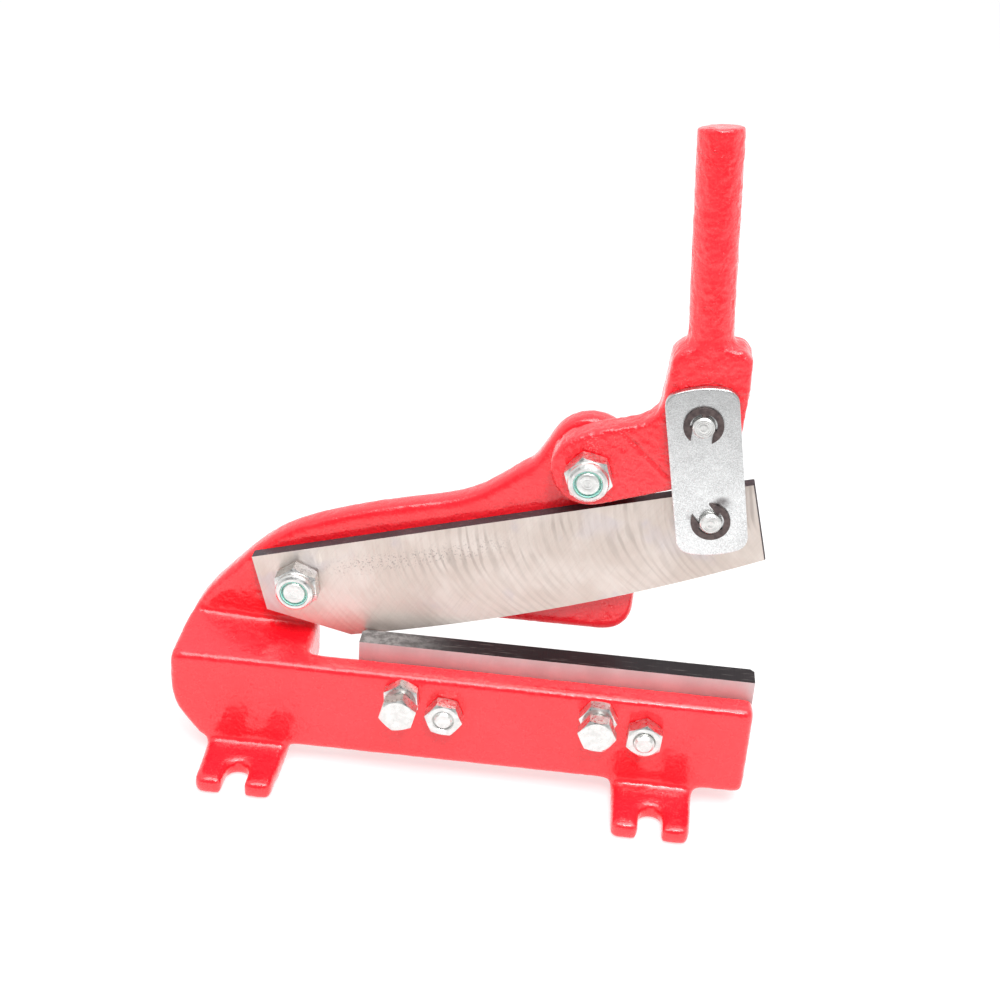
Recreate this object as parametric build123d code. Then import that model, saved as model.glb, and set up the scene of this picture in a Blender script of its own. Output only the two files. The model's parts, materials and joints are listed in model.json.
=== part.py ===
"""Bench shear for sheet metal: cast C-frame, fixed and swinging blades, lever with two link plates.

Drawn in millimetres about the blade datum: X=0 at the fixed blade's left end, Y=0 at its front face,
Z=0 at its top edge. +X runs along the blades, +Y to the back, +Z up. Every part is moved on export so
that the row's origin lies at the middle of the overall bounding box, on the bench.
"""

from build123d import *
from math import atan2, cos, degrees, hypot, radians, sin
import os

# ---- fixed blade -------------------------------------------------------------------------------
BLADE_LENGTH = 155.0
FIXED_BLADE_THICK = 9.5
FIXED_BLADE_HEIGHT = 36.0
FIXED_BLADE_CHAMFER = 1.6

# ---- layers from front to back -----------------------------------------------------------------
WEB_FRONT = -10.5
SHEAR_GAP = 0.3
MOVING_BLADE_THICK = 5.2
MOVING_BLADE_FRONT = FIXED_BLADE_THICK + SHEAR_GAP
MOVING_BLADE_BACK = MOVING_BLADE_FRONT + MOVING_BLADE_THICK
MIDDLE = (MOVING_BLADE_FRONT + MOVING_BLADE_BACK) / 2
ARM_FRONT = MOVING_BLADE_BACK + 0.3
ARM_THICK = 11.0
ARM_BACK = ARM_FRONT + ARM_THICK
LEVER_HUB_THICK = 16.8
LEVER_FRONT = MIDDLE - LEVER_HUB_THICK / 2
LEVER_HUB_BACK = MIDDLE + LEVER_HUB_THICK / 2
LEVER_PLATE_BACK = ARM_FRONT - 0.3
LINK_THICK = 3.0
SIDE_GAP = 0.3

# ---- pivots (X, Z) -----------------------------------------------------------------------------
BLADE_PIVOT = (-26.0, 19.2)
LEVER_PIVOT = (83.2, 82.0)
LINK_PIVOT_UPPER = (122.4, 106.6)
LINK_PIVOT_LOWER = (129.4, 68.3)
PIVOT_BOLT_DIA = 10.0
LINK_PIN_DIA = 8.0
RUNNING_CLEARANCE = 0.05
LOWER_PIN_PLAY = 3.5

# ---- frame casting -----------------------------------------------------------------------------
FRAME_LEFT = -73.9
FRAME_RIGHT = 155.5
WEB_TOP = -7.0
WEB_BOTTOM = -46.3
BENCH = -53.8
SEAT_LEDGE_HEIGHT = WEB_BOTTOM + 10.3
THROAT_END = -19.6
SHELF_UNDERSIDE = -24.0
SHELF_BACK_LEFT = -1.9
SHELF_BACK_RIGHT = -4.7
ARM_EYE_RADIUS = 16.4
EYE_START_ANGLE = 152
CAST_ROUND = 2.2
CHEEK_ROUND = 4.0
CHEEK_LOW = (FRAME_LEFT, -21.0)
HEEL_HIGH = (-71.1, -34.4)
HEEL_LOW = (-62.2, WEB_BOTTOM)
ARM_BACK_EDGE = [
    (-70.3, -3.0),
    (-53.4, 19.4),
    (-36.0, 35.6),
    (-17.0, 44.8),
    (20.0, 55.6),
    (44.0, 64.2),
    (58.6, 75.4),
]

# ---- feet --------------------------------------------------------------------------------------
FEET_X = (-42.8, 119.7)
FOOT_TIP_WIDTH = 30.4
FOOT_ROOT_WIDTH = 32.1
FOOT_FRONT = -36.6
FOOT_BACK = 26.0
SLOT_WIDTH = 8.8
SLOT_DEPTH = 14.4
SLOT_CORNER = 3.9
FOOT_CORNER = 3.2
FOOT_TOP_ROUND = 1.4
GUSSET_REACH = 3.2

# ---- lever -------------------------------------------------------------------------------------
EAR_RADIUS = 14.8
STUB_DIA = 16.7
STUB_LEAN = 4.2
STUB_FOOT = (122.0, 131.2)
STUB_LENGTH = 80.8
STUB_CUT_ANGLE = 8.0
STUB_ROOT_TOP = 6.0
STUB_ROOT_ROUND = 3.6
HUB_ZONE_RADIUS = 22.5
LEVER_ROUND = 2.0

# ---- links -------------------------------------------------------------------------------------
LINK_WIDTH = 26.6
LINK_END_MARGIN = 14.4
LINK_END_BULGE = 2.6
LINK_CORNER = 6.0
RING_THICK = 0.9
RING_RADIUS = 7.3
RING_MOUTH_UPPER = -92
RING_MOUTH_LOWER = 132
LINK_EDGE_ROUND = 0.35
PIN_OVERHANG = 2.7
PIN_GROOVE_DEPTH = 0.5
SPACER_DIA = 13.0

# ---- fasteners ---------------------------------------------------------------------------------
CLAMP_BOLT_XZ = ((36.2, -21.3), (114.4, -21.3))
ADJUST_BOLT_XZ = ((19.2, -15.2), (95.9, -15.2))
M8 = 8.0
M8_FLATS = 13.0
M8_NUT_HEIGHT = 6.5
M8_HEAD_HEIGHT = 5.3
M10_FLATS = 16.0
M10_HEAD_HEIGHT = 6.4
NYLOC_HEX_HEIGHT = 6.9
NYLOC_HEIGHT = 10.2
COLLAR_DIA = 15.4
INSERT_OUTER_DIA = 12.2
HOLE_FIT = 0.04
JAM_NUT_HEIGHT = 5.4
ADJUST_HEAD_FRONT = WEB_FRONT - 15.0
CLAMP_OVERHANG = {"left": 0.4, "right": 2.2}

# Degrees by which each hexagon is turned from standing on a corner.
CLAMP_NUT_TURN = {"left": 23, "right": -4}
ADJUST_HEAD_TURN = {"left": -14, "right": 25}
JAM_NUT_TURN = {"left": 5, "right": 27}
LOCK_NUT_TURN = {"blade_pivot": 6, "lever_pivot": 19}

# ---- row origin --------------------------------------------------------------------------------
BACK_LIMIT = ARM_BACK + M10_HEAD_HEIGHT
ORIGIN = Vector((FRAME_LEFT + FRAME_RIGHT) / 2, (FOOT_FRONT + BACK_LIMIT) / 2, BENCH)

FACING_BACK = Plane(origin=(0, 0, 0), x_dir=(1, 0, 0), z_dir=(0, -1, 0))


def along_y(outline, y_from, y_to):
    """Solid from an outline drawn in X and Z, between two Y planes."""
    return Pos(0, y_to, 0) * extrude(FACING_BACK * outline, amount=y_to - y_from)


def rod(xz, diameter, y_from, y_to):
    return Pos(xz[0], 0, xz[1]) * along_y(Circle(diameter / 2), y_from, y_to)


def hexagon_prism(xz, flats, y_from, y_to, turn=0):
    outline = RegularPolygon(flats / 2, 6, major_radius=False, rotation=30 + turn)
    return Pos(xz[0], 0, xz[1]) * along_y(outline, y_from, y_to)


def turned(xz, profile):
    """Body turned about a Y axis through xz, from (radius, Y) points."""
    face = make_face(Polyline([(r, y, 0) for r, y in profile], close=True))
    return Pos(xz[0], 0, xz[1]) * revolve(face, axis=Axis.Y)


def hexagon_corners_cut(xz, flats, y_from, y_to, cut_from=True, cut_to=True):
    """Turned envelope that bevels a hexagon's corners at one or both ends."""
    tip, full = flats * 0.475, flats * 0.60
    drop = (full - tip) * 0.577
    near = [(tip, y_from), (full, y_from + drop)] if cut_from else [(full, y_from)]
    far = [(full, y_to - drop), (tip, y_to)] if cut_to else [(full, y_to)]
    return turned(xz, [(0, y_from)] + near + far + [(0, y_to)])


def rounded_faces(solid, radius, y_planes):
    """Round the outline edges that lie in the given Y planes."""
    edges = ShapeList()
    for y in y_planes:
        edges += solid.edges().filter_by_position(Axis.Y, y - 0.01, y + 0.01)
    return fillet(edges, radius)


# ---- frame casting -----------------------------------------------------------------------------


def web_outline():
    right_low, right_high = (FRAME_RIGHT, WEB_BOTTOM), (FRAME_RIGHT, WEB_TOP)
    line = Polyline([HEEL_LOW, right_low, right_high, (FRAME_LEFT, WEB_TOP), CHEEK_LOW])
    cheek = TangentArc(CHEEK_LOW, HEEL_HIGH, tangent=(0, -1))
    face = make_face(line + cheek + Line(HEEL_HIGH, HEEL_LOW))
    face = fillet(face.vertices().group_by(Axis.X)[-1], 2.4)
    top_left = face.vertices().sort_by_distance((FRAME_LEFT, WEB_TOP, 0))[0]
    return fillet(top_left, CHEEK_ROUND)


def on_circle(center, radius, angle):
    return (center[0] + radius * cos(radians(angle)), center[1] + radius * sin(radians(angle)))


def arm_outline():
    eye_start, eye_mid, eye_end = (
        on_circle(LEVER_PIVOT, ARM_EYE_RADIUS, angle) for angle in (EYE_START_ANGLE, 80, 6.6)
    )
    along_eye = (sin(radians(EYE_START_ANGLE)), -cos(radians(EYE_START_ANGLE)))
    back_edge = Spline([CHEEK_LOW] + ARM_BACK_EDGE + [eye_start], tangents=[(0, 1), along_eye])
    eye = ThreePointArc(eye_start, eye_mid, eye_end)
    nose = Polyline([eye_end, (105.3, 33.0), (105.3, 18.0)])
    lobe = TangentArc((105.3, 18.0), (94.0, 6.5), tangent=(0, -1))
    mouth = Line((94.0, 6.5), (-8.0, 6.5))
    throat = TangentArc((-8.0, 6.5), (THROAT_END, -5.0), tangent=(-1, 0))
    corner = (THROAT_END, SHELF_UNDERSIDE)
    rear = Polyline([(THROAT_END, -5.0), corner, (-66.0, SHELF_UNDERSIDE), CHEEK_LOW])
    return make_face(back_edge + eye + nose + lobe + mouth + throat + rear)


def cheek_outline():
    """Left side of the shelf: the web's cheek running up into the arm's back edge."""
    side = Spline([CHEEK_LOW, (-73.4, -10.5), (-70.9, -3.0), (-68.5, 1.0)], tangents=[(0, 1), (0.6, 1)])
    low = [(THROAT_END, SHELF_UNDERSIDE - 1), (-66.0, SHELF_UNDERSIDE - 1), CHEEK_LOW]
    return side + Polyline([(-68.5, 1.0), (THROAT_END, 1.0)] + low)


def shelf_section(x, back_height):
    front, back = -7.6, ARM_FRONT + 0.4
    top = [(x, front, WEB_TOP), (x, back, back_height)]
    return make_face(Polyline(top + [(x, back, SHELF_UNDERSIDE), (x, front, SHELF_UNDERSIDE)], close=True))


def shelf():
    """Block that joins the web to the arm at the closed end of the throat."""
    left = shelf_section(FRAME_LEFT - 4, SHELF_BACK_LEFT)
    right = shelf_section(THROAT_END, SHELF_BACK_RIGHT)
    return loft([left, right]) & along_y(make_face(cheek_outline()), WEB_FRONT, ARM_BACK)


def foot_outline():
    tip, root = FOOT_TIP_WIDTH / 2, FOOT_ROOT_WIDTH / 2
    side = [(tip, FOOT_FRONT), (root, WEB_FRONT), (root, 0), (tip, FOOT_BACK)]
    half = Polyline([(0, FOOT_FRONT)] + side + [(0, FOOT_BACK)])
    face = make_face(half + mirror(half, about=Plane.YZ))
    ends = face.vertices().group_by(Axis.Y)
    return fillet(ends[0] + ends[-1], FOOT_CORNER)


def slot_outline():
    slot = fillet(Rectangle(SLOT_WIDTH, 2 * SLOT_DEPTH).vertices(), SLOT_CORNER)
    return Pos(0, FOOT_FRONT) * slot + Pos(0, FOOT_BACK) * slot


def foot():
    """Plate under the web with an open slot at each end."""
    plate = extrude(foot_outline() - slot_outline(), amount=WEB_BOTTOM - BENCH)
    top = plate.edges().group_by(Axis.Z)[-1]
    return Pos(0, 0, BENCH) * fillet(top, FOOT_TOP_ROUND)


def foot_web_gussets():
    """Fillets under the web on both sides of a foot."""
    root, low, high = FOOT_ROOT_WIDTH / 2, WEB_BOTTOM - GUSSET_REACH, WEB_BOTTOM + 1
    outer = root + GUSSET_REACH
    corner = Polyline([(root - 1, high), (outer, high), (outer, WEB_BOTTOM)])
    curve = TangentArc((outer, WEB_BOTTOM), (root, low), tangent=(-1, 0))
    close = Polyline([(root, low), (root - 1, low), (root - 1, high)])
    gusset = along_y(make_face(corner + curve + close), WEB_FRONT + 1.4, -0.2)
    return gusset + mirror(gusset, about=Plane.YZ)


def foot_cove():
    """Concave rounding where the foot's top meets the web's front face."""
    r, inset = 2.8, 0.2
    width = FOOT_ROOT_WIDTH - 2.4
    block = Box(width, 2.5, 2.5, align=(Align.CENTER, Align.MAX, Align.MIN))
    bite = Rot(0, 90, 0) * Cylinder(r, width + 2)
    bite = Pos(0, WEB_FRONT - r + inset, WEB_BOTTOM + r - inset) * bite
    return Pos(0, WEB_FRONT + 0.5, WEB_BOTTOM - 0.5) * block - bite


def frame_casting():
    web = along_y(web_outline(), WEB_FRONT, 0)
    web = rounded_faces(web, CAST_ROUND, [WEB_FRONT])
    arm = along_y(arm_outline(), ARM_FRONT, ARM_BACK)
    arm = rounded_faces(arm, CAST_ROUND, [ARM_FRONT, ARM_BACK])
    body = web + arm + shelf()
    lowest_corner = (Align.MIN, Align.MIN, Align.MIN)
    ledge = Box(BLADE_LENGTH + 1.0, FIXED_BLADE_THICK, SEAT_LEDGE_HEIGHT - WEB_BOTTOM, align=lowest_corner)
    body += Pos(-1.0, -0.2, WEB_BOTTOM) * ledge
    for x in FEET_X:
        body += Pos(x, 0, 0) * (foot() + foot_web_gussets() + foot_cove())
    for xz in CLAMP_BOLT_XZ + ADJUST_BOLT_XZ:
        body -= rod(xz, M8 + HOLE_FIT, WEB_FRONT - 1, 1)
    for xz in (BLADE_PIVOT, LEVER_PIVOT):
        body -= rod(xz, PIVOT_BOLT_DIA + HOLE_FIT, ARM_FRONT - 1, ARM_BACK + 1)
    return body


# ---- blades ------------------------------------------------------------------------------------


def lower_blade():
    bar = Box(BLADE_LENGTH, FIXED_BLADE_THICK, FIXED_BLADE_HEIGHT, align=(Align.MIN, Align.MIN, Align.MAX))
    ends = bar.edges().filter_by(Axis.Z).group_by(Axis.Y)[-1]
    bar = chamfer(ends, FIXED_BLADE_CHAMFER)
    for xz in CLAMP_BOLT_XZ:
        bar -= rod(xz, M8 + HOLE_FIT, -1, FIXED_BLADE_THICK + 1)
        bar -= turned(xz, [(0, 5.1), (4.02, 5.1), (8.6, 9.7), (8.6, 12), (0, 12)])
    return bar


def upper_blade():
    top = Polyline([(-4.9, -3.3), (-38.8, 4.6), (-44.8, 27.8), (144.6, 80.4), (152.7, 49.4)])
    edge = ThreePointArc((152.7, 49.4), (77.0, 19.2), (-4.9, -3.3))
    plate = along_y(make_face(top + edge), MOVING_BLADE_FRONT, MOVING_BLADE_BACK)
    for xz, diameter in (
        (BLADE_PIVOT, PIVOT_BOLT_DIA + 2 * RUNNING_CLEARANCE),
        (LINK_PIVOT_LOWER, LINK_PIN_DIA + 2 * LOWER_PIN_PLAY),
    ):
        plate -= rod(xz, diameter, MOVING_BLADE_FRONT - 1, MOVING_BLADE_BACK + 1)
    return plate


# ---- lever -------------------------------------------------------------------------------------


def lever_outline():
    ear_top, ear_bottom = (78.6, 96.1), (88.0, 68.0)
    ear = ThreePointArc(ear_bottom, (LEVER_PIVOT[0] - EAR_RADIUS, LEVER_PIVOT[1]), ear_top)
    brow_points = [ear_top, (86.0, 99.3), (99.0, 103.0), (105.6, 108.2), (107.4, 118.0)]
    brow = Spline(brow_points, tangents=[(0.9, 0.36), (0.05, 1)])
    shoulders = [(107.4, 118.0), (108.6, 129.6), (112.4, 133.4), (133.6, 135.0), (137.4, 131.0)]
    hub = Polyline(shoulders + [(137.9, 119.0), (137.0, 100.0)])
    chin = TangentArc((137.0, 100.0), (118.0, 78.2), tangent=(-0.05, -1))
    belly = Line((118.0, 78.2), ear_bottom)
    return make_face(ear + brow + hub + chin + belly)


def stub_placed(solid):
    """Stand a solid drawn about Z on the stub's leaning axis."""
    return Pos(STUB_FOOT[0], MIDDLE, STUB_FOOT[1]) * Rot(0, -STUB_LEAN, 0) * solid


def stub():
    """Round handle stub, cut off a little aslant at its top."""
    upright = (Align.CENTER, Align.CENTER, Align.MIN)
    bar = Cylinder(STUB_DIA / 2, STUB_LENGTH + 6, align=upright)
    saw = Rot(-STUB_CUT_ANGLE, -2, 0) * Box(60, 60, 30, align=upright)
    return stub_placed(bar - Pos(0, 0, STUB_LENGTH) * saw)


def stub_root():
    """Concave rounding between the hub's shoulders and the stub, no thicker than the hub."""
    r, top = STUB_DIA / 2, STUB_ROOT_TOP
    reach = r + STUB_ROOT_ROUND
    foot = Polyline([(r, top), (0, top), (0, -3), (reach, -3), (reach, top - STUB_ROOT_ROUND)])
    halfway = STUB_ROOT_ROUND * cos(radians(45))
    middle = (reach - halfway, top - halfway, 0)
    cove = ThreePointArc((reach, top - STUB_ROOT_ROUND, 0), middle, (r, top, 0))
    ring = Rot(90, 0, 0) * revolve(make_face(foot + cove), axis=Axis.Y)
    slab = Pos(STUB_FOOT[0], MIDDLE, STUB_FOOT[1]) * Box(60, LEVER_HUB_THICK, 60)
    return stub_placed(ring) & slab


def lever():
    plate = along_y(lever_outline(), LEVER_FRONT, LEVER_PLATE_BACK)
    plate = rounded_faces(plate, LEVER_ROUND, [LEVER_FRONT])
    thick = along_y(lever_outline(), LEVER_FRONT, LEVER_HUB_BACK)
    thick = rounded_faces(thick, LEVER_ROUND, [LEVER_FRONT, LEVER_HUB_BACK])
    hub_zone = along_y(Circle(HUB_ZONE_RADIUS), LEVER_FRONT - 1, LEVER_HUB_BACK + 1)
    hub_zone = Pos(LINK_PIVOT_UPPER[0] + 5.0, 0, LINK_PIVOT_UPPER[1] + 12.0) * hub_zone
    body = plate + (thick & hub_zone) + stub() + stub_root()
    for xz, diameter in ((LEVER_PIVOT, PIVOT_BOLT_DIA), (LINK_PIVOT_UPPER, LINK_PIN_DIA)):
        body -= rod(xz, diameter + 2 * RUNNING_CLEARANCE, LEVER_FRONT - 1, LEVER_HUB_BACK + 1)
    return body


# ---- links -------------------------------------------------------------------------------------


def link_plate(y_from):
    (x1, z1), (x2, z2) = LINK_PIVOT_UPPER, LINK_PIVOT_LOWER
    half = LINK_WIDTH / 2
    reach = hypot(x2 - x1, z2 - z1) / 2 + LINK_END_MARGIN
    side = reach - LINK_END_BULGE
    right = Line((half, -side), (half, side))
    top = ThreePointArc((half, side), (0, reach), (-half, side))
    left = Line((-half, side), (-half, -side))
    bottom = ThreePointArc((-half, -side), (0, -reach), (half, -side))
    outline = fillet(make_face(right + top + left + bottom).vertices(), LINK_CORNER)
    tilt = degrees(atan2(x2 - x1, z1 - z2))
    outline = Pos((x1 + x2) / 2, (z1 + z2) / 2) * Rot(0, 0, tilt) * outline
    plate = along_y(outline, y_from, y_from + LINK_THICK)
    plate = rounded_faces(plate, LINK_EDGE_ROUND, [y_from, y_from + LINK_THICK])
    for xz in (LINK_PIVOT_UPPER, LINK_PIVOT_LOWER):
        plate -= rod(xz, LINK_PIN_DIA + HOLE_FIT, y_from - 1, y_from + LINK_THICK + 1)
    return plate


def link_pin(xz):
    """Pin with a groove outside each link plate for its snap ring."""
    bevel = 0.6
    r = LINK_PIN_DIA / 2
    groove = r - PIN_GROOVE_DEPTH
    plate_front = LEVER_FRONT - SIDE_GAP - LINK_THICK
    groove_front, groove_back = plate_front - RING_THICK - 0.2, plate_front - 0.05
    end = plate_front - PIN_OVERHANG
    half = [(0, end), (r - bevel, end), (r, end + bevel), (r, groove_front)]
    half += [(groove, groove_front), (groove, groove_back), (r, groove_back)]
    return turned(xz, half + [(radius, 2 * MIDDLE - y) for radius, y in reversed(half)])


def snap_ring(xz, y_from, mouth):
    """E-shaped ring: three prongs reach into the pin's groove, and the mouth is open."""
    ring = Circle(RING_RADIUS) - Circle(5.0)
    for angle in (180, 62, -62):
        prong = Pos(4.5, 0) * Rectangle(1.9, 2.6)
        ring += Rot(0, 0, angle) * prong
    ring -= Pos(RING_RADIUS, 0) * Rectangle(2 * RING_RADIUS - 2.0, 7.6)
    ring = Rot(0, 0, mouth) * ring
    return Pos(xz[0], 0, xz[1]) * along_y(ring, y_from, y_from + RING_THICK)


def spacer(y_from, y_to):
    tube = rod(LINK_PIVOT_LOWER, SPACER_DIA, y_from, y_to)
    return tube - rod(LINK_PIVOT_LOWER, LINK_PIN_DIA + HOLE_FIT, y_from - 1, y_to + 1)


# ---- fasteners ---------------------------------------------------------------------------------


def hexagon_bolt(xz, dia, flats, head_from, head_to, shank_to, turn=0):
    """Hexagon-headed bolt along Y; the head's flat side faces the shank."""
    forward = shank_to > head_to
    head = hexagon_prism(xz, flats, head_from, head_to, turn)
    head &= hexagon_corners_cut(xz, flats, head_from, head_to, forward, not forward)
    start = head_to if forward else head_from
    toward = 1 if forward else -1
    bevel = dia * 0.09
    side = [(dia / 2, start), (dia / 2, shank_to - toward * bevel), (dia / 2 - bevel, shank_to)]
    return head + turned(xz, [(0, start)] + side + [(0, shank_to)])


def countersunk_bolt(xz, overhang):
    tip = WEB_FRONT - M8_NUT_HEIGHT - overhang
    r = M8 / 2
    return turned(xz, [(0, 9.3), (8.15, 9.3), (r, 5.15), (r, tip + 1.0), (r - 1.0, tip), (0, tip)])


def plain_nut(xz, bore, flats, y_from, y_to, turn=0):
    nut = hexagon_prism(xz, flats, y_from, y_to, turn) & hexagon_corners_cut(xz, flats, y_from, y_to)
    nut -= rod(xz, bore + HOLE_FIT, y_from - 1, y_to + 1)
    mouth, throat, depth = bore / 2 + 0.45, bore / 2 - 0.3, 0.75
    for y, inward in ((y_from, 1), (y_to, -1)):
        cone = [(mouth, y - inward), (mouth, y), (throat, y + inward * depth)]
        nut -= turned(xz, [(0, y - inward)] + cone + [(0, y + inward * depth)])
    return nut


def lock_nut(xz, base, turn=0):
    """Hexagon with a round collar at its front that grips a nylon insert."""
    hex_front = base - NYLOC_HEX_HEIGHT
    front = base - NYLOC_HEIGHT
    nut = hexagon_prism(xz, M10_FLATS, hex_front, base, turn)
    nut &= hexagon_corners_cut(xz, M10_FLATS, hex_front, base)
    r = COLLAR_DIA / 2
    crown = [(r, front + 1.5), (r - 0.4, front + 0.5), (r - 1.2, front)]
    nut += turned(xz, [(0, base - 4), (r, base - 4)] + crown + [(0, front)])
    nut -= rod(xz, PIVOT_BOLT_DIA + HOLE_FIT, front - 1, base + 1)
    wide, lip = INSERT_OUTER_DIA / 2 + 0.3, INSERT_OUTER_DIA / 2 - 0.6
    recess = [(lip, front - 1), (lip, front + 0.3), (wide, front + 0.7), (wide, front + 3.4)]
    return nut - turned(xz, [(0, front - 1)] + recess + [(0, front + 3.4)])


def nylon_insert(xz, base):
    front = base - NYLOC_HEIGHT
    ring = rod(xz, INSERT_OUTER_DIA, front + 0.75, front + 3.3)
    ring += rod(xz, INSERT_OUTER_DIA - 1.6, front + 0.15, front + 1.0)
    return ring - rod(xz, PIVOT_BOLT_DIA + HOLE_FIT, front - 1, base)


# ---- parts -------------------------------------------------------------------------------------


def build():
    front_link_y = LEVER_FRONT - SIDE_GAP - LINK_THICK
    back_link_y = LEVER_HUB_BACK + SIDE_GAP
    back_ring_y = back_link_y + LINK_THICK + 0.12
    front_ring_y = front_link_y - RING_THICK - 0.12
    parts = {
        "frame_casting": frame_casting(),
        "lower_blade": lower_blade(),
        "upper_blade": upper_blade(),
        "lever": lever(),
        "link_front": link_plate(front_link_y),
        "link_back": link_plate(back_link_y),
        "link_pin_upper": link_pin(LINK_PIVOT_UPPER),
        "link_pin_lower": link_pin(LINK_PIVOT_LOWER),
        "ring_upper_front": snap_ring(LINK_PIVOT_UPPER, front_ring_y, RING_MOUTH_UPPER),
        "ring_upper_back": snap_ring(LINK_PIVOT_UPPER, back_ring_y, RING_MOUTH_UPPER),
        "ring_lower_front": snap_ring(LINK_PIVOT_LOWER, front_ring_y, RING_MOUTH_LOWER),
        "ring_lower_back": snap_ring(LINK_PIVOT_LOWER, back_ring_y, RING_MOUTH_LOWER),
        "spacer_front": spacer(front_link_y + LINK_THICK + 0.1, MOVING_BLADE_FRONT - SIDE_GAP),
        "spacer_back": spacer(MOVING_BLADE_BACK + SIDE_GAP, back_link_y - 0.1),
    }
    for name, xz, base in (
        ("blade_pivot", BLADE_PIVOT, MOVING_BLADE_FRONT - 0.2),
        ("lever_pivot", LEVER_PIVOT, LEVER_FRONT - 0.2),
    ):
        turn = LOCK_NUT_TURN[name]
        tip = base - NYLOC_HEIGHT + 0.3
        parts[name + "_bolt"] = hexagon_bolt(xz, PIVOT_BOLT_DIA, M10_FLATS, ARM_BACK, BACK_LIMIT, tip, turn)
        parts[name + "_nut"] = lock_nut(xz, base, turn)
        parts[name + "_insert"] = nylon_insert(xz, base)
    head_back = ADJUST_HEAD_FRONT + M8_HEAD_HEIGHT
    nut_front, jam_front = WEB_FRONT - M8_NUT_HEIGHT, WEB_FRONT - JAM_NUT_HEIGHT
    for side, clamp, adjust in zip(("left", "right"), CLAMP_BOLT_XZ, ADJUST_BOLT_XZ):
        head_turn = ADJUST_HEAD_TURN[side]
        bolt = hexagon_bolt(adjust, M8, M8_FLATS, ADJUST_HEAD_FRONT, head_back, -0.02, head_turn)
        parts["adjusting_bolt_" + side] = bolt
        parts["jam_nut_" + side] = plain_nut(adjust, M8, M8_FLATS, jam_front, WEB_FRONT, JAM_NUT_TURN[side])
        parts["clamp_bolt_" + side] = countersunk_bolt(clamp, CLAMP_OVERHANG[side])
        clamp_turn = CLAMP_NUT_TURN[side]
        parts["clamp_nut_" + side] = plain_nut(clamp, M8, M8_FLATS, nut_front, WEB_FRONT, clamp_turn)
    return parts


os.makedirs("parts", exist_ok=True)
for node, solid in build().items():
    export_step(Pos(-ORIGIN.X, -ORIGIN.Y, -ORIGIN.Z) * solid, "parts/" + node + ".step")
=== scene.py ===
"""Looks of the bench shear: rough red castings, ground blades, zinc-plated links and fasteners."""

import json
import math

import bmesh
import bpy
import numpy as np
from mathutils import Matrix, Vector
from mathutils import noise as lattice


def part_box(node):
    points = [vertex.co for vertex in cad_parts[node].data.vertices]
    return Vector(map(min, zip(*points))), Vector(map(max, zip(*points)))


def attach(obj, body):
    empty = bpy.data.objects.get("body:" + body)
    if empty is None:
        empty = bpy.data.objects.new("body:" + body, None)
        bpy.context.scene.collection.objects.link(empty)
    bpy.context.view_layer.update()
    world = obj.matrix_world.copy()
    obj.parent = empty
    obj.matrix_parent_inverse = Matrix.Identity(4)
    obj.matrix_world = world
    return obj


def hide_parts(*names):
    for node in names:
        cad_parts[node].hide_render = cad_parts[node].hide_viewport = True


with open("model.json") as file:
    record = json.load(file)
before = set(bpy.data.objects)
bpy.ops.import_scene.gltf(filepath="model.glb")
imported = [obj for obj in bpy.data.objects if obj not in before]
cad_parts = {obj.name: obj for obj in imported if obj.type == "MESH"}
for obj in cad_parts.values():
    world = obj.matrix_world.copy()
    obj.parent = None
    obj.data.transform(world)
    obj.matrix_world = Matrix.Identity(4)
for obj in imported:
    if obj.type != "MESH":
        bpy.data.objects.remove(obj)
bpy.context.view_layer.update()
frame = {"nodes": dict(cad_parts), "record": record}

MM = 0.001

# ---- sizes, in millimetres unless a name says otherwise --------------------------------------------

# castings: voxel of the even mesh, rounds of softening, share of the sand relief, seed of its noise
FRAME_VOXEL = 0.85
FRAME_RELAX_ROUNDS = 19
FRAME_SEED = 3.0
WEB_FRONT_RELIEF = 0.55
WEB_FRONT_BEFORE_BLADE = 8.0
LEVER_VOXEL = 0.6
LEVER_RELAX_ROUNDS = 16
LEVER_SEED = 71.0
LEVER_RELIEF = 2.0

# the enamel's orange peel, relative to a thin even coat
FRAME_PEEL = 1.6
LEVER_PEEL = 4.2

# parting-line crease on the lever: its ends from the lever's pivot as (x, z), depth and lip
CREASE_FROM_PIVOT = ((10.4, 17.5), (29.0, 0.8))
CREASE_DEPTH = 0.75
CREASE_LIP = 0.28

# cup wheel that ground the blades, and the slopes (degrees) of the upper blade and its scratches
WHEEL_RADIUS = 46.0
WHEEL_AXIS_DEPTH = 9.0
WHEEL_FEED = 3.6
FEED_DRIFT = 9.0
BLADE_ANGLE = 15.5
SCRATCH_ANGLE = -30
BLADE_TOP_ABOVE_PIVOT = 14.0
BLADE_END_BREAK = 0.5
BLADE_END_ZONE = 12.0
PIT_BAND_DEPTH = 11.0

# painted reflections of the lower pin's snap ring on the link as (x, z, radius) from the lower pin, and
# the two heights over which the link turns darker towards the top
SNAP_RING_REFLECTIONS = ((3.4, 7.2, 4.6), (-7.2, 0.8, 2.8))
TOP_DARKENING_ABOVE_PIN = (2.0, 62.0)

# direction in which the surroundings are dim: low in front of the machine
DIM_DIRECTION = (0.0, -0.97, 0.24)

# camera: elevation, heading and roll in degrees, place in metres, lens in millimetres
CAMERA_ANGLES = (27.96, 3.58, -3.971)
CAMERA_PLACE = (0.04435, -0.53874, 0.41027)
CAMERA_LENS = 59.53
SENSOR_WIDTH = 36.0


# ---- shader helpers --------------------------------------------------------------------------------


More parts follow.
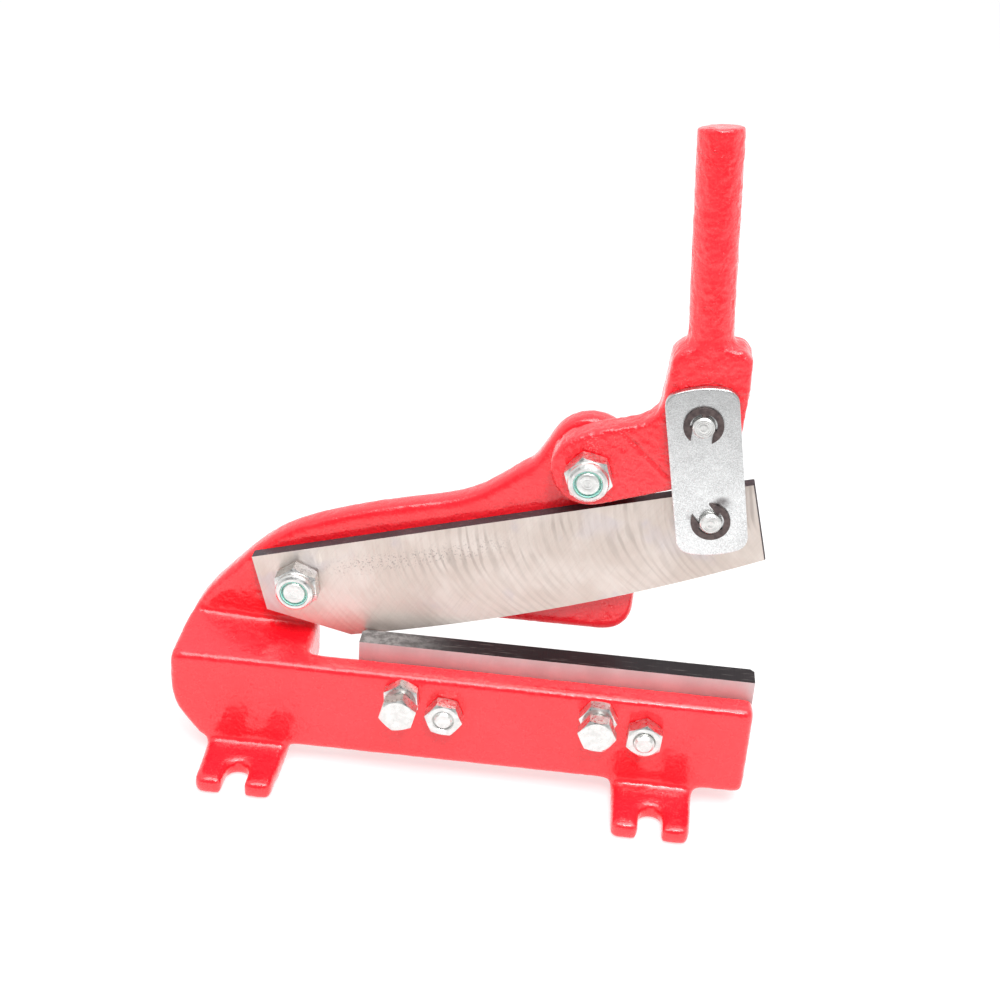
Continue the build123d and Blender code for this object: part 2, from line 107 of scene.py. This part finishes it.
def new_material(name):
    """A material with an empty node tree, its Principled shader and its output."""
    material = bpy.data.materials.new(name)
    material.use_nodes = True
    tree = material.node_tree
    tree.nodes.clear()
    output = tree.nodes.new("ShaderNodeOutputMaterial")
    shader = tree.nodes.new("ShaderNodeBsdfPrincipled")
    tree.links.new(shader.outputs["BSDF"], output.inputs["Surface"])
    return material, tree, shader


def object_point(tree, scale=(1, 1, 1), turn=(0, 0, 0), offset=(0, 0, 0)):
    """Object coordinates in millimetres, scaled, turned (degrees) and moved."""
    coordinates = tree.nodes.new("ShaderNodeTexCoord")
    mapping = tree.nodes.new("ShaderNodeMapping")
    mapping.inputs["Scale"].default_value = [s / MM for s in scale]
    mapping.inputs["Rotation"].default_value = [math.radians(a) for a in turn]
    mapping.inputs["Location"].default_value = offset
    tree.links.new(coordinates.outputs["Object"], mapping.inputs["Vector"])
    return mapping.outputs["Vector"]


def split(tree, vector):
    node = tree.nodes.new("ShaderNodeSeparateXYZ")
    tree.links.new(vector, node.inputs["Vector"])
    return node.outputs["X"], node.outputs["Y"], node.outputs["Z"]


def join(tree, x, y, z):
    node = tree.nodes.new("ShaderNodeCombineXYZ")
    for socket, value in zip(node.inputs, (x, y, z)):
        if isinstance(value, (int, float)):
            socket.default_value = value
        else:
            tree.links.new(value, socket)
    return node.outputs["Vector"]


def math_node(tree, operation, first, second=0.0):
    node = tree.nodes.new("ShaderNodeMath")
    node.operation = operation
    for socket, value in zip(node.inputs, (first, second)):
        if isinstance(value, (int, float)):
            socket.default_value = value
        else:
            tree.links.new(value, socket)
    return node.outputs["Value"]


def multiply(tree, first, second):
    return math_node(tree, "MULTIPLY", first, second)


def add(tree, first, second):
    return math_node(tree, "ADD", first, second)


def subtract(tree, first, second):
    return math_node(tree, "SUBTRACT", first, second)


def noise(tree, point, wavelength, detail=2.0, roughness=0.5, distortion=0.0):
    """Noise value with features about one wavelength (mm) across."""
    node = tree.nodes.new("ShaderNodeTexNoise")
    node.inputs["Scale"].default_value = 1.0 / wavelength
    node.inputs["Detail"].default_value = detail
    node.inputs["Roughness"].default_value = roughness
    node.inputs["Distortion"].default_value = distortion
    tree.links.new(point, node.inputs["Vector"])
    return node.outputs["Fac"]


def remap(tree, value, low, high, to_low=0.0, to_high=1.0):
    """Smooth step of a value from one range to another."""
    node = tree.nodes.new("ShaderNodeMapRange")
    node.interpolation_type = "SMOOTHSTEP"
    limits = {"From Min": low, "From Max": high, "To Min": to_low, "To Max": to_high}
    for socket, number in limits.items():
        node.inputs[socket].default_value = number
    tree.links.new(value, node.inputs["Value"])
    return node.outputs["Result"]


def mix_colors(tree, factor, first, second):
    node = tree.nodes.new("ShaderNodeMix")
    node.data_type = "RGBA"
    tree.links.new(factor, node.inputs["Factor"])
    for socket, color in ((node.inputs[6], first), (node.inputs[7], second)):
        if isinstance(color, tuple):
            socket.default_value = (*color, 1)
        else:
            tree.links.new(color, socket)
    return node.outputs[2]


def bump(tree, height, depth, below=None):
    """Bump whose height socket runs 0 to 1 over the given depth in millimetres."""
    node = tree.nodes.new("ShaderNodeBump")
    node.inputs["Strength"].default_value = 1.0
    node.inputs["Distance"].default_value = depth * MM
    tree.links.new(height, node.inputs["Height"])
    if below is not None:
        tree.links.new(below, node.inputs["Normal"])
    return node.outputs["Normal"]


def soft_edges(tree, radius):
    """Normal that rounds sharp edges over the given radius in millimetres."""
    node = tree.nodes.new("ShaderNodeBevel")
    node.samples = 6
    node.inputs["Radius"].default_value = radius * MM
    return node.outputs["Normal"]


def set_material(thing, material):
    thing.data.materials.clear()
    thing.data.materials.append(material)


# ---- materials -------------------------------------------------------------------------------------


def red_enamel(name, relief):
    """Gloss enamel over a sand casting: pooled and thin places, orange peel, small pits."""
    material, tree, shader = new_material(name)
    point = object_point(tree)
    broad = remap(tree, noise(tree, point, 26.0, 3.0), 0.3, 0.7)
    shade = mix_colors(tree, broad, (0.92, 0.008, 0.018), (0.98, 0.014, 0.026))
    specks = remap(tree, noise(tree, point, 1.1, 3.0, 0.6), 0.66, 0.78, 0.0, 0.5)
    tree.links.new(mix_colors(tree, specks, shade, (0.42, 0.004, 0.008)), shader.inputs["Base Color"])
    peel = noise(tree, point, 1.1, 2.0, 0.5, 0.4)
    wrinkle = noise(tree, point, 2.3, 1.0, 0.4, 0.8)
    coarse = bump(tree, wrinkle, 0.16 * relief)
    tree.links.new(bump(tree, peel, 0.10 * relief, coarse), shader.inputs["Normal"])
    gloss = remap(tree, noise(tree, point, 7.0, 3.0), 0.35, 0.7, 0.22, 0.36)
    tree.links.new(gloss, shader.inputs["Roughness"])
    shader.inputs["IOR"].default_value = 1.5
    shader.inputs["Coat Weight"].default_value = 0.7
    shader.inputs["Coat Roughness"].default_value = 0.07
    return material


def narrow_sides(tree):
    """1 on the narrow sides of a blade and on its broken right-hand edges, 0 on its broad faces."""
    coordinates = tree.nodes.new("ShaderNodeTexCoord")
    right, side, _ = split(tree, coordinates.outputs["Normal"])
    flatness = math_node(tree, "ABSOLUTE", side)
    broken = multiply(tree, remap(tree, flatness, 0.95, 0.8), remap(tree, right, 0.3, 0.5))
    return math_node(tree, "MAXIMUM", remap(tree, flatness, 0.65, 0.5), broken)


def not_underneath(tree):
    """0 on surfaces that face down, 1 elsewhere."""
    coordinates = tree.nodes.new("ShaderNodeTexCoord")
    return remap(tree, split(tree, coordinates.outputs["Normal"])[2], -0.6, -0.3)


def wheel_lines(tree, angle, top):
    """Coordinate that is constant along each arc of the cup wheel, and depth below the blade's top."""
    along, _, height = split(tree, object_point(tree, turn=(0, angle, 0)))
    depth = subtract(tree, top, height)
    below_axis = subtract(tree, depth, WHEEL_AXIS_DEPTH)
    square = multiply(tree, below_axis, below_axis)
    chord = math_node(tree, "SQRT", subtract(tree, WHEEL_RADIUS ** 2, square))
    return subtract(tree, along, subtract(tree, WHEEL_RADIUS, chord)), depth


def streaks(tree, across, along, shrink, wavelength, roughness=0.5):
    """Noise drawn out in one direction, which is shrunk by the given factor."""
    point = join(tree, across, 0.0, multiply(tree, along, shrink))
    return noise(tree, point, wavelength, 3.0, roughness)


def feed_steps(tree, arc, depth):
    """Unevenly spaced steps of the wheel's feed, 0 to 1."""
    drift = streaks(tree, arc, depth, 0.2, 9.0)
    place = add(tree, arc, multiply(tree, drift, FEED_DRIFT))
    wave = math_node(tree, "SINE", multiply(tree, place, math.tau / WHEEL_FEED))
    return add(tree, multiply(tree, wave, 0.5), 0.5)


def feed_marks(tree, point, arc, depth, feed):
    """How dark the feed steps are: patchy, strongest high up and to the right."""
    patchy = remap(tree, noise(tree, point, 26.0, 3.0), 0.40, 0.60, 0.1, 1.0)
    upper = remap(tree, depth, 27.0, 13.0, 0.45, 1.0)
    right = remap(tree, arc, -15.0, 20.0, 0.2, 1.0)
    marks = multiply(tree, remap(tree, feed, 0.35, 1.0), patchy)
    return multiply(tree, marks, multiply(tree, upper, right))


def hair_scratches(tree):
    across, _, slant = split(tree, object_point(tree, turn=(0, SCRATCH_ANGLE, 0)))
    return remap(tree, streaks(tree, across, slant, 0.05, 0.8, 0.6), 0.50, 0.66)


def rust_pits(tree, point, arc, depth):
    """Fine pits in a lengthwise band of the blade's left half."""
    pits = remap(tree, noise(tree, point, 0.8, 2.0, 0.7), 0.56, 0.66)
    stretch = multiply(tree, remap(tree, arc, -38.0, -18.0), remap(tree, arc, 50.0, 22.0))
    from_band = math_node(tree, "ABSOLUTE", subtract(tree, depth, PIT_BAND_DEPTH))
    band = remap(tree, from_band, 6.0, 0.5, 0.0, 0.75)
    return multiply(tree, multiply(tree, pits, stretch), band)


def black_scale(tree, blotch, dull, light):
    """Rolled scale with a few lengthwise scratches."""
    scale = mix_colors(tree, blotch, dull, light)
    lengthwise = object_point(tree, (0.05, 1, 1), (0, 0, 24))
    scratches = remap(tree, noise(tree, lengthwise, 0.5, 3.0), 0.60, 0.70, 0.0, 0.35)
    return mix_colors(tree, scratches, scale, (0.30, 0.27, 0.26))


def finish_blade(tree, shader, shade, metallic, rough, normal):
    """Link a blade's colour, metal share, roughness and normal to its shader."""
    tree.links.new(shade, shader.inputs["Base Color"])
    tree.links.new(metallic, shader.inputs["Metallic"])
    tree.links.new(rough, shader.inputs["Roughness"])
    tree.links.new(normal, shader.inputs["Normal"])
    shader.inputs["Specular IOR Level"].default_value = 0.3


def upper_blade_steel(top):
    """Ground blade with arcs of the wheel, stains and pits; black scale on top and on its ends."""
    material, tree, shader = new_material("upper_blade_steel")
    point = object_point(tree)
    arc, depth = wheel_lines(tree, BLADE_ANGLE, top)
    feed = feed_steps(tree, arc, depth)
    blotch = remap(tree, noise(tree, point, 17.0, 4.0), 0.35, 0.68)
    shade = mix_colors(tree, blotch, (0.65, 0.57, 0.515), (0.73, 0.66, 0.61))
    lilac = remap(tree, noise(tree, point, 21.0, 3.0, 0.5, 0.6), 0.56, 0.70, 0.0, 0.55)
    shade = mix_colors(tree, lilac, shade, (0.58, 0.535, 0.565))
    marks = multiply(tree, feed_marks(tree, point, arc, depth, feed), 0.55)
    shade = mix_colors(tree, marks, shade, (0.40, 0.345, 0.31))
    shade = mix_colors(tree, multiply(tree, hair_scratches(tree), 0.13), shade, (0.46, 0.40, 0.36))
    shade = mix_colors(tree, rust_pits(tree, point, arc, depth), shade, (0.30, 0.26, 0.25))
    dark = multiply(tree, narrow_sides(tree), not_underneath(tree))
    scale = black_scale(tree, blotch, (0.060, 0.047, 0.053), (0.085, 0.066, 0.073))
    fine = streaks(tree, arc, depth, 0.06, 0.55, 0.6)
    finish_blade(
        tree, shader,
        shade=mix_colors(tree, dark, shade, scale),
        metallic=remap(tree, dark, 0.0, 1.0, 1.0, 0.55),
        rough=add(tree, remap(tree, fine, 0.3, 0.7, 0.36, 0.50), multiply(tree, dark, 0.16)),
        normal=bump(tree, fine, 0.006, bump(tree, feed, 0.02)),
    )
    return material


def lower_blade_steel(top):
    """Ground blade whose grey carries a pink tint, a painted reflection of the red casting; its blackened
    narrow sides are rubbed bright near the left end.
    """
    material, tree, shader = new_material("lower_blade_steel")
    point = object_point(tree)
    arc, depth = wheel_lines(tree, 0.0, top)
    blotch = remap(tree, noise(tree, point, 17.0, 4.0), 0.35, 0.68)
    # grey ground steel tinted pink: the pink is a painted reflection of the red casting
    shade = mix_colors(tree, blotch, (0.52, 0.45, 0.45), (0.60, 0.53, 0.53))
    dark = narrow_sides(tree)
    scale = black_scale(tree, blotch, (0.018, 0.0141, 0.0159), (0.0255, 0.0198, 0.0219))
    patchy = remap(tree, noise(tree, point, 3.0, 5.0, 0.6), 0.38, 0.62, 0.45, 1.0)
    rubbed = multiply(tree, remap(tree, split(tree, point)[0], 0.0, -34.0), patchy)
    scale = mix_colors(tree, rubbed, scale, (0.30, 0.29, 0.29))
    fine = streaks(tree, arc, depth, 0.06, 0.55, 0.6)
    finish_blade(
        tree, shader,
        shade=mix_colors(tree, dark, shade, scale),
        metallic=remap(tree, dark, 0.0, 1.0, 0.6, 0.55),
        rough=remap(tree, fine, 0.3, 0.7, 0.46, 0.56),
        normal=bump(tree, fine, 0.002, bump(tree, feed_steps(tree, arc, depth), 0.02)),
    )
    return material


def turning_rings(tree):
    """Lathe marks about the part's own axis, which runs through the middle of its box."""
    coordinates = tree.nodes.new("ShaderNodeTexCoord")
    x, _, z = split(tree, coordinates.outputs["Generated"])
    dx = subtract(tree, x, 0.5)
    dz = subtract(tree, z, 0.5)
    reach = math_node(tree, "SQRT", add(tree, multiply(tree, dx, dx), multiply(tree, dz, dz)))
    return noise(tree, join(tree, multiply(tree, reach, 16.0), 0.0, 0.0), 1.6, 2.0)


def zinc_plate(name, turned=False):
    """Bright zinc plate on turned and forged hardware: faint cloudiness and handling marks."""
    material, tree, shader = new_material(name)
    point = object_point(tree)
    shader.inputs["Metallic"].default_value = 1.0
    cloud = remap(tree, noise(tree, point, 2.6, 4.0), 0.3, 0.7)
    shade = mix_colors(tree, cloud, (0.66, 0.66, 0.645), (0.80, 0.80, 0.785))
    dirt = remap(tree, noise(tree, point, 1.3, 4.0, 0.65), 0.64, 0.76, 0.0, 0.5)
    tree.links.new(mix_colors(tree, dirt, shade, (0.40, 0.37, 0.34)), shader.inputs["Base Color"])
    rough = remap(tree, noise(tree, point, 1.2, 4.0), 0.3, 0.7, 0.24, 0.42)
    tree.links.new(rough, shader.inputs["Roughness"])
    relief = bump(tree, noise(tree, point, 0.8, 3.0), 0.014)
    if turned:
        relief = bump(tree, remap(tree, turning_rings(tree), 0.35, 0.65), 0.10, relief)
    tree.links.new(relief, shader.inputs["Normal"])
    return material


def link_zinc(pin):
    """Zinc plate on rolled strip: crystals, darker towards the top, dark painted reflections of the snap
    ring by the lower pin.
    """
    material, tree, shader = new_material("link_zinc")
    point = object_point(tree)
    shader.inputs["Metallic"].default_value = 1.0
    crystal = remap(tree, noise(tree, point, 0.5, 3.0, 0.7), 0.34, 0.66)
    cloud = remap(tree, noise(tree, point, 6.0, 3.0), 0.35, 0.65)
    shade = mix_colors(tree, crystal, (0.60, 0.60, 0.60), (0.80, 0.81, 0.81))
    shade = mix_colors(tree, multiply(tree, cloud, 0.3), shade, (0.93, 0.94, 0.94))
    across, _, height = split(tree, point)
    # the link turns darker towards the top between these two heights above the lower pin
    low, high = (pin.z + rise for rise in TOP_DARKENING_ABOVE_PIN)
    top_darkening = remap(tree, height, low, high, 0.0, 0.35)
    shade = mix_colors(tree, top_darkening, shade, (0.25, 0.25, 0.25))
    specks = remap(tree, noise(tree, point, 0.9, 2.0, 0.8), 0.62, 0.72, 0.0, 0.7)
    shade = mix_colors(tree, specks, shade, (0.34, 0.33, 0.33))
    # dark painted reflections of the lower pin's snap ring, drawn as spots on the link
    for x, z, radius in SNAP_RING_REFLECTIONS:
        where = tree.nodes.new("ShaderNodeVectorMath")
        where.operation = "DISTANCE"
        tree.links.new(join(tree, across, 0.0, height), where.inputs[0])
        where.inputs[1].default_value = (pin.x + x, 0.0, pin.z + z)
        near = remap(tree, where.outputs["Value"], radius, radius * 0.3, 0.0, 0.85)
        shade = mix_colors(tree, multiply(tree, near, cloud), shade, (0.12, 0.10, 0.10))
    tree.links.new(shade, shader.inputs["Base Color"])
    tree.links.new(remap(tree, crystal, 0.0, 1.0, 0.38, 0.24), shader.inputs["Roughness"])
    tree.links.new(bump(tree, crystal, 0.012, soft_edges(tree, 0.9)), shader.inputs["Normal"])
    return material


def spring_steel():
    """Blackened spring steel with brown patches."""
    material, tree, shader = new_material("spring_steel")
    point = object_point(tree)
    shader.inputs["Metallic"].default_value = 0.8
    patch = remap(tree, noise(tree, point, 1.8, 4.0), 0.35, 0.65)
    shade = mix_colors(tree, patch, (0.085, 0.065, 0.065), (0.15, 0.115, 0.11))
    tree.links.new(shade, shader.inputs["Base Color"])
    tree.links.new(remap(tree, patch, 0.0, 1.0, 0.35, 0.5), shader.inputs["Roughness"])
    return material


def nylon():
    """Slightly translucent teal nylon of the lock nuts' inserts."""
    material, tree, shader = new_material("nylon")
    point = object_point(tree)
    tone = remap(tree, noise(tree, point, 1.5, 3.0), 0.3, 0.7)
    shade = mix_colors(tree, tone, (0.33, 0.68, 0.59), (0.45, 0.80, 0.71))
    tree.links.new(shade, shader.inputs["Base Color"])
    tree.links.new(remap(tree, tone, 0.0, 1.0, 0.38, 0.5), shader.inputs["Roughness"])
    shader.inputs["Subsurface Weight"].default_value = 0.15
    shader.inputs["Subsurface Scale"].default_value = 1.0 * MM
    return material


def floor_paper():
    """White back-lit paper that fades softly towards the front of the table."""
    material, tree, shader = new_material("floor_paper")
    point = object_point(tree)
    tone = noise(tree, point, 300.0, 2.0)
    white = mix_colors(tree, tone, (0.38, 0.38, 0.382), (0.40, 0.40, 0.402))
    front = remap(tree, split(tree, point)[1], -170.0, -620.0)
    tree.links.new(mix_colors(tree, front, white, (0.22, 0.22, 0.222)), shader.inputs["Base Color"])
    shader.inputs["Roughness"].default_value = 0.9
    shader.inputs["Specular IOR Level"].default_value = 0.1
    shader.inputs["Emission Color"].default_value = (1.0, 1.0, 1.0, 1)
    tree.links.new(remap(tree, front, 0.0, 1.0, 0.62, 0.05), shader.inputs["Emission Strength"])
    return material


# ---- mesh helpers ----------------------------------------------------------------------------------


def link_object(name, mesh):
    piece = bpy.data.objects.new(name, mesh)
    bpy.context.scene.collection.objects.link(piece)
    return piece


def apply_modifiers(piece):
    """Bake a piece's modifiers into its mesh."""
    graph = bpy.context.evaluated_depsgraph_get()
    mesh = bpy.data.meshes.new_from_object(piece.evaluated_get(graph))
    piece.modifiers.clear()
    piece.data = mesh


def stand_in(piece, node, material):
    """Show a piece in place of a CAD node, on the node's own body."""
    set_material(piece, material)
    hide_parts(node)
    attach(piece, BODY_OF[node])


def middle(node):
    """Middle of a CAD node's box, in metres."""
    low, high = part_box(node)
    return (low + high) / 2


def vertex_array(mesh):
    points = np.empty(len(mesh.vertices) * 3, np.float32)
    mesh.vertices.foreach_get("co", points)
    return points.reshape(-1, 3).astype(float)


def normal_array(mesh):
    normals = np.empty(len(mesh.vertices) * 3, np.float32)
    mesh.vertex_normals.foreach_get("vector", normals)
    return normals.reshape(-1, 3).astype(float)


def put_vertices(mesh, points):
    mesh.vertices.foreach_set("co", points.astype(np.float32).ravel())
    mesh.update()


def relax(mesh, rounds, strength=0.6):
    """Soften every edge by moving each vertex towards the mean of its neighbours."""
    edges = np.empty(len(mesh.edges) * 2, np.int32)
    mesh.edges.foreach_get("vertices", edges)
    first, second = edges.reshape(-1, 2).T
    points = vertex_array(mesh)
    count = len(points)
    degree = np.bincount(edges, minlength=count)
    for _ in range(rounds):
        for axis in range(3):
            values = points[:, axis]
            total = np.bincount(first, values[second], count) + np.bincount(second, values[first], count)
            points[:, axis] = values + strength * (total / degree - values)
    put_vertices(mesh, points)


def lattice_noise(points, wavelength, offset=0.0):
    """Smooth noise from -1 to 1 with features about one wavelength (mm) across."""
    shift = Vector((offset, 2 * offset, 3 * offset))
    scaled = points / (wavelength * MM)
    return np.array([lattice.noise(Vector(p) + shift) for p in scaled])


# ---- castings --------------------------------------------------------------------------------------


def even_copy(node, name, voxel):
    """An evenly meshed copy of a CAD node."""
    piece = link_object(name, frame["nodes"][node].data.copy())
    remesh = piece.modifiers.new("even", "REMESH")
    remesh.mode = "VOXEL"
    remesh.voxel_size = voxel * MM
    apply_modifiers(piece)
    return piece


def roughen(mesh, relief_at, seed):
    """Sand-cast relief: waves, orange peel and sparse pits, mostly below the nominal surface."""
    points = vertex_array(mesh)
    normals = normal_array(mesh)
    waves = lattice_noise(points, 7.5, seed)
    peel = lattice_noise(points, 2.6, seed + 11)
    wrinkle = lattice_noise(points, 1.5, seed + 23)
    pits = np.clip(lattice_noise(points, 3.4, seed + 37) - 0.55, 0, None)
    height = 0.07 * waves + 0.10 * peel + 0.05 * wrinkle - 0.9 * pits - 0.07
    points += normals * (height * relief_at(points, normals) * MM)[:, None]
    points[:, 2] = np.maximum(points[:, 2], 0.0)  # the feet stay on the floor
    put_vertices(mesh, points)


def frame_relief(points, normals):
    """The web's front face came off a smooth pattern board; the rest is rougher."""
    before_blade = points[:, 1] < middle("lower_blade").y - WEB_FRONT_BEFORE_BLADE * MM
    on_web = (normals[:, 1] < -0.8) & before_blade
    return np.where(on_web, WEB_FRONT_RELIEF, 1.0)


def lever_relief(points, normals):
    return np.full(len(points), LEVER_RELIEF)


def crease_lever(mesh):
    """Cut a slanting parting-line groove, with a raised lip below it, across the lever's front face."""
    pivot = middle("lever_pivot_nut")
    (ax, az), (bx, bz) = CREASE_FROM_PIVOT
    start = np.array([pivot.x + ax * MM, pivot.z + az * MM])
    length = math.hypot(bx - ax, bz - az)
    along = np.array([bx - ax, bz - az]) / length
    out = np.array([-along[1], along[0]])
    points = vertex_array(mesh)
    normals = normal_array(mesh)
    flat = points[:, [0, 2]] - start
    across = flat @ out / MM
    reach = flat @ along / MM
    inside = np.clip(reach / 2.0 + 0.5, 0, 1) * np.clip((length - reach) / 2.0 + 0.5, 0, 1)
    front = np.clip((-normals[:, 1] - 0.5) / 0.4, 0, 1)
    groove = np.exp(-((across - 0.3) / 0.62) ** 2)
    lip = np.exp(-((across + 1.0) / 0.8) ** 2)
    points[:, 1] += (CREASE_DEPTH * groove - CREASE_LIP * lip) * inside * front * MM
    put_vertices(mesh, points)


def make_casting(node, name, finish, voxel, rounds, relief_at, seed, shape=None):
    """Show a rounded, rough casting in place of a CAD node; shape is an extra change to its mesh."""
    piece = even_copy(node, name, voxel)
    relax(piece.data, rounds)
    if shape:
        shape(piece.data)
    roughen(piece.data, relief_at, seed)
    piece.data.shade_smooth()
    stand_in(piece, node, FINISHES[finish])
    return piece


# ---- steel parts -----------------------------------------------------------------------------------


def blade_with_broken_end(node, name, width):
    """A copy of a blade with the long edges of its right-hand end broken."""
    mesh = frame["nodes"][node].data.copy()
    work = bmesh.new()
    work.from_mesh(mesh)
    bmesh.ops.remove_doubles(work, verts=work.verts, dist=1e-6)
    bmesh.ops.dissolve_limit(work, angle_limit=math.radians(0.6), verts=work.verts, edges=work.edges)
    end = max(v.co.x for v in work.verts) - BLADE_END_ZONE * MM
    tall = [
        e for e in work.edges
        if min(v.co.x for v in e.verts) > end and abs(e.verts[0].co.z - e.verts[1].co.z) > 10 * MM
    ]
    bmesh.ops.bevel(work, geom=tall, offset=width * MM, segments=1, affect="EDGES")
    work.to_mesh(mesh)
    work.free()
    return link_object(name, mesh)


def make_stage_floor():
    mesh = bpy.data.meshes.new("floor")
    half = 9.0
    corners = [(-half, -half, 0), (half, -half, 0), (half, half, 0), (-half, half, 0)]
    mesh.from_pydata([Vector(c) for c in corners], [], [(0, 1, 2, 3)])
    floor = link_object("floor", mesh)
    set_material(floor, floor_paper())


def make_world():
    """Even white surroundings with a dimmer patch low in front, where the operator stands."""
    world = bpy.data.worlds.new("studio")
    bpy.context.scene.world = world
    world.use_nodes = True
    tree = world.node_tree
    background = tree.nodes["Background"]
    coordinates = tree.nodes.new("ShaderNodeTexCoord")
    toward = tree.nodes.new("ShaderNodeVectorMath")
    toward.operation = "DOT_PRODUCT"
    tree.links.new(coordinates.outputs["Generated"], toward.inputs[0])
    toward.inputs[1].default_value = DIM_DIRECTION
    dim = remap(tree, toward.outputs["Value"], 0.55, 0.92)
    tree.links.new(mix_colors(tree, dim, (1.0, 1.0, 1.0), (0.22, 0.22, 0.225)), background.inputs["Color"])
    background.inputs["Strength"].default_value = 0.93


def softbox(name, place, target, width, height, power):
    data = bpy.data.lights.new(name, "AREA")
    data.shape = "RECTANGLE"
    data.size = width
    data.size_y = height
    data.energy = power
    lamp = bpy.data.objects.new(name, data)
    bpy.context.scene.collection.objects.link(lamp)
    lamp.location = place
    lamp.rotation_euler = (Vector(target) - Vector(place)).to_track_quat("-Z", "Y").to_euler()


def make_camera():
    """Camera above the front, a little to the right, rolled four degrees."""
    elevation, heading, roll = (math.radians(angle) for angle in CAMERA_ANGLES)
    level = Vector((math.cos(heading), math.sin(heading), 0))
    ahead = Vector((-math.sin(heading), math.cos(heading), 0))
    forward = math.cos(elevation) * ahead + Vector((0, 0, -math.sin(elevation)))
    down = forward.cross(level)
    right = math.cos(roll) * level + math.sin(roll) * down
    down = math.cos(roll) * down - math.sin(roll) * level
    data = bpy.data.cameras.new("camera")
    data.lens = CAMERA_LENS
    data.sensor_width = SENSOR_WIDTH
    data.clip_start = 0.01
    camera = bpy.data.objects.new("camera", data)
    bpy.context.scene.collection.objects.link(camera)
    turn = Matrix((right, -down, -forward)).transposed().to_4x4()
    camera.matrix_world = Matrix.Translation(CAMERA_PLACE) @ turn
    bpy.context.scene.camera = camera


# ---- the scene -------------------------------------------------------------------------------------

make_camera()
make_stage_floor()
make_world()
softbox("overhead", (0.1, -0.30, 1.25), (0.0, 0.05, 0.08), 1.5, 0.9, 18.0)
softbox("key", (0.22, -0.80, 1.15), (0.0, 0.0, 0.08), 0.34, 0.34, 6.5)
bpy.context.scene.view_settings.view_transform = "Standard"
bpy.context.scene.view_settings.look = "None"

BODY_OF = {node: body for body, nodes in frame["record"]["behaviour"]["bodies"].items() for node in nodes}
slope = math.radians(BLADE_ANGLE)
blade_pivot = middle("blade_pivot_nut") / MM
pivot_height = math.cos(slope) * blade_pivot.z - math.sin(slope) * blade_pivot.x
FINISHES = {
    "red_enamel": red_enamel("red_enamel", FRAME_PEEL),
    "red_enamel_rough": red_enamel("red_enamel_rough", LEVER_PEEL),
    "upper_blade": upper_blade_steel(pivot_height + BLADE_TOP_ABOVE_PIVOT),
    "lower_blade": lower_blade_steel(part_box("lower_blade")[1].z / MM),
    "zinc_plate": zinc_plate("zinc_plate"),
    "zinc_turned": zinc_plate("zinc_turned", turned=True),
    "link_zinc": link_zinc(middle("link_pin_lower") / MM),
    "spring_steel": spring_steel(),
    "nylon": nylon(),
}


def finish_of(node):
    """Name of the finish that a CAD node has."""
    if node in FINISHES:
        return node
    if node in ("frame_casting", "lever"):
        return "red_enamel"
    if node.startswith("ring_"):
        return "spring_steel"
    if node.endswith("_insert"):
        return "nylon"
    if node in ("link_front", "link_back"):
        return "link_zinc"
    if node.startswith("link_pin") or "clamp_bolt" in node or "pivot_bolt" in node:
        return "zinc_turned"
    return "zinc_plate"


for node, thing in frame["nodes"].items():
    set_material(thing, FINISHES[finish_of(node)])

blade_shape = blade_with_broken_end("upper_blade", "ground_blade", BLADE_END_BREAK)
stand_in(blade_shape, "upper_blade", FINISHES["upper_blade"])
make_casting(
    "frame_casting", "cast_frame", "red_enamel",
    FRAME_VOXEL, FRAME_RELAX_ROUNDS, frame_relief, FRAME_SEED,
)
make_casting(
    "lever", "cast_lever", "red_enamel_rough",
    LEVER_VOXEL, LEVER_RELAX_ROUNDS, lever_relief, LEVER_SEED, crease_lever,
)
